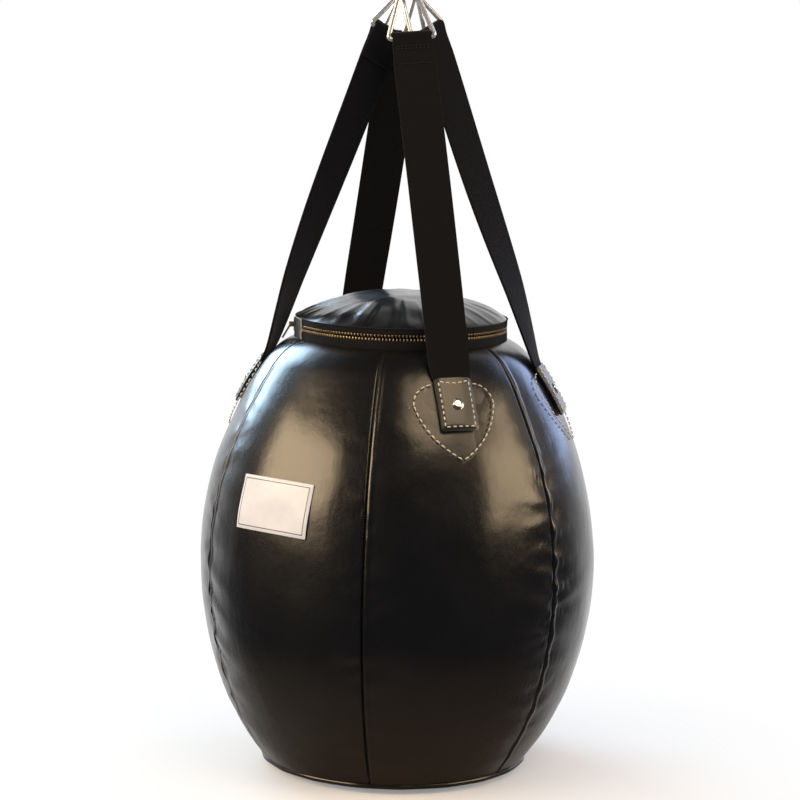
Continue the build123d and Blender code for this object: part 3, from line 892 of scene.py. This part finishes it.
def make_label():
    """A blank sewn-on label that follows the leather under it."""
    outline = Outline()
    low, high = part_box("label_patch")
    turn = math.asin((sizes().widest_drop - MOUTH_Z + (low.z + high.z) / 2) / outline.upper_bow)
    square = Square(outline, 0, turn)

    def put(u, v):
        x, y = LABEL_HALF_WIDTH * (2 * u - 1), LABEL_HALF_HEIGHT * (2 * v - 1)
        edge = min(LABEL_HALF_WIDTH - abs(x), LABEL_HALF_HEIGHT - abs(y))
        lift = 0.0018 + 0.0008 * math.sin(x * 60 + 1) * math.sin(y * 90) - 0.0008 * math.exp(-edge / 0.0012)
        return square.lay(x, y, lift)

    label = grid("label_blank", 48, 30, put)
    apply(label, "SOLIDIFY", thickness=0.0009, offset=1)
    smooth(label, 35)
    finish_piece(label, "bag", ["label_face"], ["label_patch"])


# ---------------------------------------------------------------- straps
PLY_AWAY = 0.0016            # middle of a ply to the middle of the doubled webbing
CLOSE_RUN = 0.016            # run below the wire in which the two plies come together


def doubled(run):
    """How far a ply lies from the middle of the doubled webbing, at a run below the ring's wire."""
    return PLY_AWAY + (LOOP_RADIUS - PLY_AWAY) * max(0.0, 1 - run / CLOSE_RUN) ** 2


def strap_rows(place):
    """Rows of points across one strap's middle surface, from its sewn end to the end of its tail."""
    outline = Outline()
    azimuth = STRAP_AZIMUTH[place]
    square = Square(outline, azimuth, HEART_TURN)
    base, wire, _ = ring_seat(place)
    lift = HEART_THICKNESS + STRAP_THICKNESS / 2
    width = sizes().strap_width
    leave = square.lay(0, TAB_TOP + 0.004, lift)
    rise = (base - leave).normalized()
    wire = wire if wire.dot(square.x) > 0 else -wire
    up = (rise - wire * rise.dot(wire)).normalized()
    out = wire.cross(up)
    out = out if out.dot(square.normal) > 0 else -out
    columns = 12
    across = [2 * c / columns - 1 for c in range(columns + 1)]
    rows = []
    for n in range(14):
        y = TAB_TOP + 0.004 - 0.058 * (1 - n / 13)
        narrow = 0.019 if y < TAB_TOP - 0.004 else 0.019 + (width / 2 - 0.019) * min(
            1.0, (y - TAB_TOP + 0.004) / 0.006)
        rows.append([square.lay(narrow * a, y, lift) for a in across])
    length = (base - leave).length
    steps = 60
    for n in range(1, steps + 1):
        t = n / steps
        left = length * (1 - t)
        ease = 1 - (1 - t) ** 2.4
        side = (square.x * (1 - ease) + wire * ease).normalized()
        facing = (square.normal * (1 - ease) + out * ease).normalized()
        gather = min(1.0, max(0.0, 1 - left / 0.035))
        half = width / 2 - 0.0022 * gather
        away = LOOP_RADIUS if left < 0.001 else doubled(left)
        curl = 0.0019 * max(0.0, 1 - (length - left) / 0.09)
        middle = leave.lerp(base, t) + facing * (away * min(1.0, t * 4))
        middle += facing * 0.0012 * math.sin(t * math.pi * 2.3 + azimuth)
        rows.append([middle + side * (half * a) - facing * (curl * a * a) for a in across])
    for n in range(1, 9):
        a = math.pi * n / 8
        middle = base + (out * math.cos(a) + up * math.sin(a)) * LOOP_RADIUS
        rows.append([middle + wire * ((width / 2 - 0.0022) * s) for s in across])
    for n in range(1, 12):
        run = 0.040 * n / 11
        away = doubled(run)
        middle = base - rise * run - out * away
        rows.append([middle + wire * ((width / 2 - 0.0022 + min(0.0018, run * 0.05)) * s) for s in across])
    for _ in range(3):
        for i in range(11, 20):
            rows[i] = [(a + b * 2 + c) / 4 for a, b, c in zip(rows[i - 1], rows[i], rows[i + 1])]
    return rows, base, rise, wire, out


def make_strap(place):
    """Webbing from the heart up to its ring, round the wire and back, with its bar tacks."""
    rows, base, rise, wire, out = strap_rows(place)
    columns = len(rows[0]) - 1
    along = [0.0]
    middle = columns // 2
    for a, b in zip(rows, rows[1:]):
        along.append(along[-1] + (b[middle] - a[middle]).length)
    width = sizes().strap_width

    def put(u, v):
        return rows[round(v * (len(rows) - 1))][round(u * columns)]

    def uv(u, v):
        return u * width, along[round(v * (len(rows) - 1))]

    strap = grid(f"webbing_{place}", columns, len(rows) - 1, put, uv)
    apply(strap, "SUBSURF", levels=1, render_levels=1)
    apply(strap, "SOLIDIFY", thickness=STRAP_THICKNESS * 0.9, offset=0)
    apply(strap, "BEVEL", width=0.0006, segments=2, limit_method="ANGLE", angle_limit=math.radians(50))
    smooth(strap, 40)
    finish_piece(strap, "bag", ["strap_webbing"], [f"strap_{place}"])
    paths = []
    half = width / 2 - 0.0055
    for drop in (0.0125, 0.0155, 0.034):
        start = base - rise * drop + out * (PLY_AWAY + STRAP_THICKNESS * 0.5)
        paths.append([(start - wire * half, out), (start + wire * half, out)])
    stitched(f"loop_stitches_{place}", paths, "bag", "black_thread", 0.0042, 0.0006)


# ---------------------------------------------------------------- zipper and lid
FOLD_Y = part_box("lid_flap")[0].y - 0.0004
FRONT_HALF_TURN = math.degrees(math.acos(min(1.0, -FOLD_Y / TAPE_HIGH.x)))


def band(name, radius, low, high, start, turn, rows=3, closed=False, lip=0.0):
    """A strip of tape on edge round the mouth; lip is how far its rolled top edge stands out."""
    def put(u, v):
        out = heading(start + turn * u)
        belly = 0.0004 * math.sin(math.pi * v) + lip * math.exp(-((1 - v) / 0.16) ** 2)
        return out * (radius + belly) + Vector((0, 0, low + (high - low) * v))

    piece = grid(name, max(12, round(turn / 2)), rows, put,
                 lambda u, v: (u * math.radians(turn) * radius, v * (high - low)))
    if closed:
        weld(piece)
    apply(piece, "SOLIDIFY", thickness=0.0014, offset=-1)
    smooth(piece, 40)
    return piece


def tooth_model():
    """One cast tooth: a slab on the tape with a rounded head that reaches past the middle."""
    clear_selection()
    bpy.ops.mesh.primitive_cube_add(size=1)
    piece = bpy.context.object
    piece.scale = (0.0020, 0.0036, 0.0030)
    bpy.ops.object.transform_apply(location=False, rotation=False, scale=True)
    bpy.ops.object.mode_set(mode="EDIT")
    bpy.ops.mesh.select_all(action="SELECT")
    bpy.ops.mesh.bevel(offset=0.0005, segments=2, affect="EDGES")
    bpy.ops.object.mode_set(mode="OBJECT")
    for vertex in piece.data.vertices:
        if vertex.co.z > 0.0008:
            vertex.co.x *= 0.72
            vertex.co.y *= 0.86
    return piece


def teeth(name, start, turn, up, offset, body, replaces):
    """A row of teeth; up is 1 for teeth that reach up from the lower tape."""
    pitch = math.degrees(sizes().tooth_pitch / TEETH_RADIUS)
    count = int(turn / pitch)
    matrices = []
    for n in range(count):
        azimuth = start + (n + 0.5 + offset) * turn / count
        out = heading(azimuth)
        place = out * (TEETH_RADIUS - 0.0019) + Vector((0, 0, MOUTH_Z - up * 0.0021))
        basis = Matrix((heading(azimuth + 90), out, Vector((0, 0, 1)))).transposed()
        if up < 0:
            basis = basis @ Matrix.Diagonal((1, 1, -1)) @ Matrix.Diagonal((-1, 1, 1))
        matrices.append(Matrix.Translation(place) @ basis.to_4x4())
    piece = copies(name, tooth_model(), matrices)
    return finish_piece(piece, body, ["zipper_brass"], replaces)


def make_zipper():
    """Two tapes with their teeth; the rear half of the upper one rides on the flap."""
    low, teeth_low = TAPE_LOW.z, TEETH_LOW.z
    outer = TAPE_HIGH.x
    lower = band("zipper_cloth_lower", outer + 0.0009, low + 0.005, teeth_low + 0.0012, 0, 360, 6, True)
    finish_piece(lower, "bag", ["zipper_cloth"], ["zipper_tape_lower"])
    half = FRONT_HALF_TURN
    halves = (("front", -half, 2 * half, "bag"), ("rear", half, 360 - 2 * half, "lid_flap"))
    for place, start, turn, body in halves:
        upper = band(f"zipper_cloth_{place}", outer + 0.0009, UPPER_LOW.z - 0.0012, UPPER_HIGH.z,
                     start + 0.2, turn - 0.4, 14, lip=0.0011)
        finish_piece(upper, body, ["zipper_cloth"], [f"zipper_tape_{place}"])
        teeth(f"zipper_row_{place}", start + 0.2, turn - 0.4, -1, 0.0, body, [f"zipper_teeth_{place}"])
    teeth("zipper_row_lower", 0, 360, 1, 0.5, "bag", ["zipper_teeth_lower"])


END_TAB_AZIMUTH = -35


def make_end_tab():
    low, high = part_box("zipper_end_tab")
    radius = TEETH_RADIUS + 0.0003
    half = math.degrees(0.015 / radius)

    def put(u, v):
        lump = 0.0010 * noise.noise(Vector((u * 3, v * 3, 5)))
        out = heading(END_TAB_AZIMUTH + half * (2 * u - 1))
        return out * (radius + lump) + Vector((0, 0, low.z + (high.z - low.z) * v))

    tab = grid("zipper_end_leather", 16, 14, put)
    cut_leather(tab, 0.002)
    smooth(tab, 35)
    finish_piece(tab, "bag", [], ["zipper_end_tab"])


def lid_point(azimuth, across):
    """A point of the lid's pillow; across is 0 at the middle and 1 at the rim inside the tape."""
    rise = LID_TOP - 0.003 - LID_RIM_Z
    rim = max(0.0, (across - 0.25) / 0.75)
    gather = PLEATS(azimuth) * rim ** 1.6 * (1 - across ** 16)
    height = rise * (1 - across ** 2.3) ** 0.85 + 0.0034 * gather
    radius = LID_SEAT * across + 0.0012 * gather * (1 - rim)
    a = math.radians(azimuth)
    flat = Vector((math.sin(a) * across, math.cos(a) * across, 1.7))
    soft = 0.0042 * noise.noise(flat * 2.1) + 0.0016 * noise.noise(flat * 5.5)
    height += soft * (1 - across ** 6)
    return heading(azimuth) * radius + Vector((0, 0, LID_RIM_Z - 0.0022 + height))


def pleat_wave(count):
    """Uneven gathers round the rim, the same on every run."""
    rng = random.Random(5)
    bumps = [(360 * (n + rng.uniform(-0.3, 0.3)) / count, rng.uniform(1.6, 3.8), rng.uniform(0.25, 1.0))
             for n in range(count)]

    def wave(azimuth):
        total = -0.45
        for centre, width, height in bumps:
            off = (azimuth - centre + 180) % 360 - 180
            if abs(off) < 3 * width:
                total += height * math.exp(-(off / width) ** 2)
        return total
    return wave


PLEATS = pleat_wave(34)
LID_SEAT = TAPE_HIGH.x - 0.0012


def lid_rows(v):
    """Rows of the lid, close together near its rim."""
    return 1 - (1 - v) ** 1.5


def make_lid():
    """One gathered sheet over the mouth."""
    lid = grid("lid_leather", 300, 44, lambda u, v: lid_point(360 * u, lid_rows(v)))
    weld(lid)
    apply(lid, "SOLIDIFY", thickness=0.0022, offset=-1)
    smooth(lid, 60)
    finish_piece(lid, None, ["lid_leather"], ["lid_front", "lid_fold", "lid_flap"])
    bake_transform(lid)


# ---------------------------------------------------------------- metal and the inside
def dress(node, name):
    """Gives a carried-over solid its finish."""
    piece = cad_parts[node]
    piece.data.materials.clear()
    piece.data.materials.append(material(name))


def make_metal():
    for place in STRAP_AZIMUTH:
        dress(f"triangle_ring_{place}", "ring_chrome")
    for node in ("carabiner_body", "carabiner_gate", "gate_pin"):
        dress(node, "carabiner_steel")
    for node in ("zipper_slider", "zipper_pull"):
        dress(node, "zipper_brass")


def soft_form(node, name, finish, voxel, wrinkle):
    """A padded piece made from a solid's own shape: remeshed, with its surface pressed in by wrinkles."""
    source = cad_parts[node]
    piece = bpy.data.objects.new(name, source.data.copy())
    piece.data.name = name
    bpy.context.collection.objects.link(piece)
    piece.data.materials.clear()
    weld(piece)
    apply(piece, "REMESH", mode="VOXEL", voxel_size=voxel)
    normals = [vertex.normal.copy() for vertex in piece.data.vertices]
    for vertex, normal in zip(piece.data.vertices, normals):
        press = 0.5 + 0.3 * noise.noise(vertex.co * 22) + 0.2 * noise.noise(vertex.co * 60)
        vertex.co -= normal * (wrinkle * press)
    smooth(piece, 60)
    finish_piece(piece, "bag", [finish], [node])


def make_inside():
    """Foam and filling as soft forms; the thin lining between them keeps its solid."""
    soft_form("foam_layer", "foam_padding", "padding_foam", 0.0055, 0.0012)
    soft_form("filling", "packed_filling", "packed_rags", 0.008, 0.004)
    dress("inner_liner", "lining_cloth")


# ---------------------------------------------------------------- stage
def softbox(name, azimuth, distance, height, width, tall, power, colour, aim_z):
    lamp = bpy.data.lights.new(name, "AREA")
    lamp.shape = "RECTANGLE"
    lamp.size, lamp.size_y = width, tall
    lamp.energy = power
    lamp.color = colour
    piece = bpy.data.objects.new(name, lamp)
    bpy.context.collection.objects.link(piece)
    piece.location = heading(azimuth) * distance + Vector((0, 0, height))
    piece.rotation_euler = (Vector((0, 0, aim_z)) - piece.location).to_track_quat("-Z", "Y").to_euler()


def make_camera():
    distance, above, pitch, roll = 3.2, 0.384, math.radians(8.43), math.radians(1.17)
    out = heading(CAMERA_AZIMUTH)
    camera = bpy.data.cameras.new("camera")
    camera.lens = 121.15
    piece = bpy.data.objects.new("camera", camera)
    bpy.context.collection.objects.link(piece)
    piece.location = out * distance + Vector((0, 0, MOUTH_Z + above))
    look = -out * math.cos(pitch) - Vector((0, 0, math.sin(pitch)))
    turn = look.to_track_quat("-Z", "Y").to_matrix() @ Matrix.Rotation(roll, 3, "Z")
    piece.rotation_euler = turn.to_euler()
    bpy.context.scene.camera = piece


def make_floor():
    """A pale floor that fades into the white backdrop away from the bag's shadow."""
    clear_selection()
    bpy.ops.mesh.primitive_circle_add(vertices=96, radius=1.5, fill_type="NGON", location=(0, 0, FLOOR_Z))
    floor = bpy.context.object
    floor.name = "floor"
    s = Shader("pale_floor", (0.95, 0.93, 0.90), 0.75, specular=0.1)
    cloud = s.grain(3.0, 2.0)
    camera = s.node("ShaderNodeLightPath", {}, {}, "Is Camera Ray")
    seen = s.mix(cloud, (0.97, 0.94, 0.89), (1.0, 0.98, 0.95))
    s.set("Base Color", s.mix(camera, (0.30, 0.24, 0.18), seen))
    reach = s.node("ShaderNodeVectorMath", {"operation": "LENGTH"}, [s.place()], 1)
    s.set("Alpha", (1 - reach.clamp(0.17, 0.55)) * 0.75)
    floor.data.materials.append(s.material)


def make_world():
    """Even fill light; the camera and mirrors see a white wall behind the bag and a dim room in front."""
    world = bpy.data.worlds.new("studio")
    bpy.context.scene.world = world
    world.use_nodes = True
    tree = world.node_tree

    def node(kind, values, output=0, **settings):
        made = tree.nodes.new(kind)
        for key, value in settings.items():
            setattr(made, key, value)
        for key, value in values.items():
            if isinstance(value, bpy.types.NodeSocket):
                tree.links.new(value, made.inputs[key])
            else:
                made.inputs[key].default_value = value
        return made.outputs[output]

    ray = tree.nodes.new("ShaderNodeLightPath").outputs
    view = node("ShaderNodeTexCoord", {}, "Generated")
    wall = node("ShaderNodeVectorMath", {0: view, 1: -heading(CAMERA_AZIMUTH)}, "Value",
                operation="DOT_PRODUCT")
    fade = node("ShaderNodeMapRange", {0: wall, 1: 0.35, 2: 0.9})
    mirrored = node("ShaderNodeMath", {0: ray["Is Glossy Ray"], 1: fade}, operation="MULTIPLY")
    seen = node("ShaderNodeMath", {0: ray["Is Camera Ray"], 1: ray["Is Transmission Ray"]},
                operation="MAXIMUM")
    white = node("ShaderNodeMath", {0: seen, 1: mirrored}, operation="MAXIMUM")
    fill, dim = (0.34, 0.36, 0.42, 1), (0.045, 0.045, 0.05, 1)
    room = node("ShaderNodeMix", {0: ray["Is Glossy Ray"], 6: fill, 7: dim}, 2, data_type="RGBA")
    colour = node("ShaderNodeMix", {0: white, 6: room, 7: (1, 1, 1, 1)}, 2, data_type="RGBA")
    tree.links.new(colour, tree.nodes["Background"].inputs["Color"])


def make_stage():
    bpy.context.scene.view_settings.view_transform = "Standard"
    make_camera()
    make_floor()
    make_world()
    chest = MOUTH_Z - 0.2
    warm, cool = (1.0, 0.75, 0.47), (0.52, 0.76, 1.0)
    softbox("warm_left", CAMERA_AZIMUTH - 66, 2.3, chest + 0.95, 2.4, 1.25, 58, warm, chest)
    softbox("warm_top", CAMERA_AZIMUTH + 34, 1.5, chest + 1.75, 1.3, 0.8, 13, warm, chest)
    softbox("warm_right", CAMERA_AZIMUTH + 76, 2.3, chest + 0.85, 1.6, 1.1, 24, warm, chest)
    softbox("cool_left", CAMERA_AZIMUTH - 142, 2.0, chest + 1.0, 1.3, 1.2, 44, cool, chest)
    softbox("cool_right", CAMERA_AZIMUTH + 132, 2.0, chest + 0.8, 0.8, 1.2, 9, (0.40, 0.56, 1.0), chest)


# ---------------------------------------------------------------- operators
class BAG_OT_stage(bpy.types.Operator):
    """Make the camera, the floor and the lamps"""
    bl_idname = "bag.stage"
    bl_label = "Stage"

    def execute(self, context):
        make_stage()
        return {"FINISHED"}


class BAG_OT_cover(bpy.types.Operator):
    """Make the leather gores with their seams and puckers"""
    bl_idname = "bag.cover"
    bl_label = "Leather Cover"

    def execute(self, context):
        make_cover()
        return {"FINISHED"}


class BAG_OT_foot(bpy.types.Operator):
    """Make the foot panel and its welt"""
    bl_idname = "bag.foot"
    bl_label = "Foot"

    def execute(self, context):
        make_foot()
        return {"FINISHED"}


class BAG_OT_hearts(bpy.types.Operator):
    """Make the heart patches and their stitching"""
    bl_idname = "bag.hearts"
    bl_label = "Heart Patches"

    def execute(self, context):
        for place in STRAP_AZIMUTH:
            make_heart(place)
        return {"FINISHED"}


class BAG_OT_straps(bpy.types.Operator):
    """Make the webbing straps"""
    bl_idname = "bag.straps"
    bl_label = "Straps"

    def execute(self, context):
        for place in STRAP_AZIMUTH:
            make_strap(place)
        return {"FINISHED"}


class BAG_OT_tabs(bpy.types.Operator):
    """Make the leather tabs and their stitching"""
    bl_idname = "bag.tabs"
    bl_label = "Tabs"

    def execute(self, context):
        for place in STRAP_AZIMUTH:
            make_tab(place)
        return {"FINISHED"}


class BAG_OT_rivets(bpy.types.Operator):
    """Make the rivet caps"""
    bl_idname = "bag.rivets"
    bl_label = "Rivets"

    def execute(self, context):
        make_rivets()
        return {"FINISHED"}


class BAG_OT_label(bpy.types.Operator):
    """Make the blank label"""
    bl_idname = "bag.label"
    bl_label = "Label"

    def execute(self, context):
        make_label()
        return {"FINISHED"}


class BAG_OT_zipper(bpy.types.Operator):
    """Make the zipper's tapes and teeth"""
    bl_idname = "bag.zipper"
    bl_label = "Zipper"

    def execute(self, context):
        make_zipper()
        return {"FINISHED"}


class BAG_OT_end_tab(bpy.types.Operator):
    """Make the leather tab over the zipper's end"""
    bl_idname = "bag.end_tab"
    bl_label = "Zipper End"

    def execute(self, context):
        make_end_tab()
        return {"FINISHED"}


class BAG_OT_lid(bpy.types.Operator):
    """Make the gathered lid"""
    bl_idname = "bag.lid"
    bl_label = "Lid"

    def execute(self, context):
        make_lid()
        return {"FINISHED"}


class BAG_OT_metal(bpy.types.Operator):
    """Give the carried-over metal its finish"""
    bl_idname = "bag.metal"
    bl_label = "Metal"

    def execute(self, context):
        make_metal()
        return {"FINISHED"}


class BAG_OT_inside(bpy.types.Operator):
    """Make the foam, the lining and the filling"""
    bl_idname = "bag.inside"
    bl_label = "Inside"

    def execute(self, context):
        make_inside()
        return {"FINISHED"}


OPERATORS = [BAG_OT_stage, BAG_OT_cover, BAG_OT_foot, BAG_OT_hearts, BAG_OT_straps, BAG_OT_tabs,
             BAG_OT_rivets, BAG_OT_label, BAG_OT_zipper, BAG_OT_end_tab, BAG_OT_lid, BAG_OT_metal,
             BAG_OT_inside]


class BAG_PT_maker(bpy.types.Panel):
    """Lists the makers of the bag's pieces"""
    bl_label = "Punching Bag"
    bl_idname = "BAG_PT_maker"
    bl_space_type = "VIEW_3D"
    bl_region_type = "UI"
    bl_category = "Bag"

    def draw(self, context):
        for name in BagSizes.__annotations__:
            self.layout.prop(context.scene.bag_sizes, name)
        for made in OPERATORS:
            self.layout.operator(made.bl_idname)


CLASSES = [BagSizes, *OPERATORS, BAG_PT_maker]


def register():
    for made in CLASSES:
        bpy.utils.register_class(made)
    bpy.types.Scene.bag_sizes = bpy.props.PointerProperty(type=BagSizes)


def unregister():
    del bpy.types.Scene.bag_sizes
    for made in reversed(CLASSES):
        bpy.utils.unregister_class(made)


def main():
    register()
    for made in OPERATORS:
        group, name = made.bl_idname.split(".")
        getattr(getattr(bpy.ops, group), name)()


if __name__ == "__main__":
    main()
